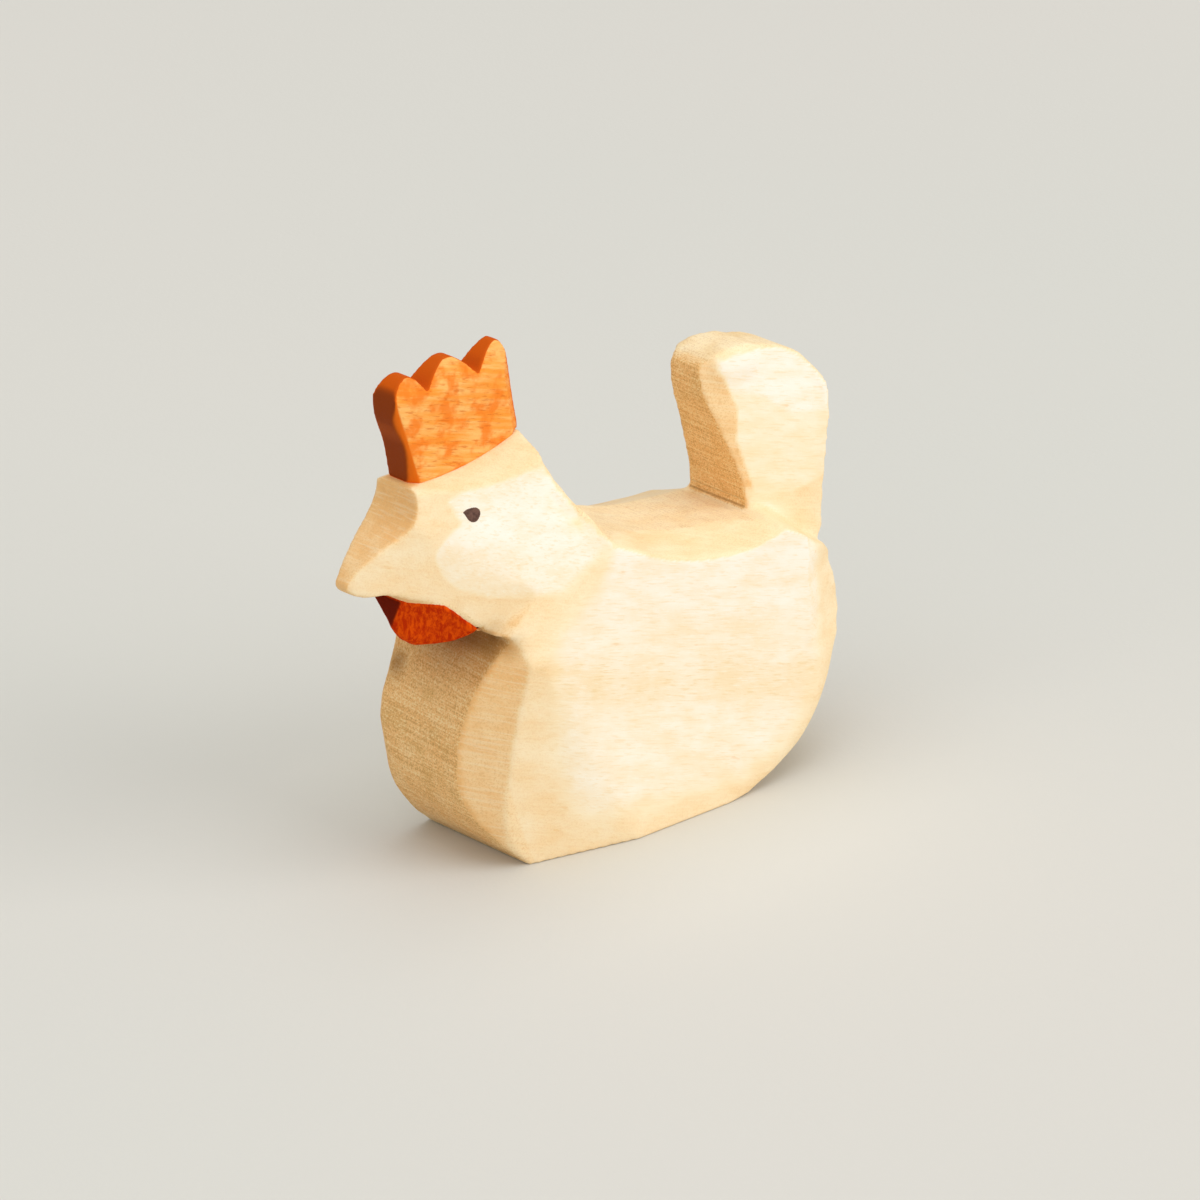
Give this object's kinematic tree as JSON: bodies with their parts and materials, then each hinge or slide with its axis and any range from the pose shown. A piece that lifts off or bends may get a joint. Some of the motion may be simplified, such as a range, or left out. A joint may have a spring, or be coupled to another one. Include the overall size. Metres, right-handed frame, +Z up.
{
  "type": "sitting hen figure",
  "caption": "Small hand-carved hen of pale wood, sitting on its flat belly, with an orange-stained comb and wattle and dotted eyes.",
  "frame": {"origin": "on the plane of the flat underside, below the middle of the overall box", "axes": "the hen looks along -X, its left side (the side the picture shows) faces -Y, +Z is up"},
  "size_m": [0.0739, 0.0226, 0.0632],
  "materials": {
    "bare_wood": "hand-sanded, thin oil, satin",
    "comb_stain": "orange water stain over the grain, satin",
    "wattle_stain": "red-orange water stain over the grain, satin",
    "burnt_dot": "dark brown burnt dot, matte"
  },
  "bodies": {
    "root": {"body": "bare_wood", "comb": "comb_stain", "wattle": "wattle_stain", "eye_left": "burnt_dot", "eye_right": "burnt_dot"}
  },
  "joints": []
}
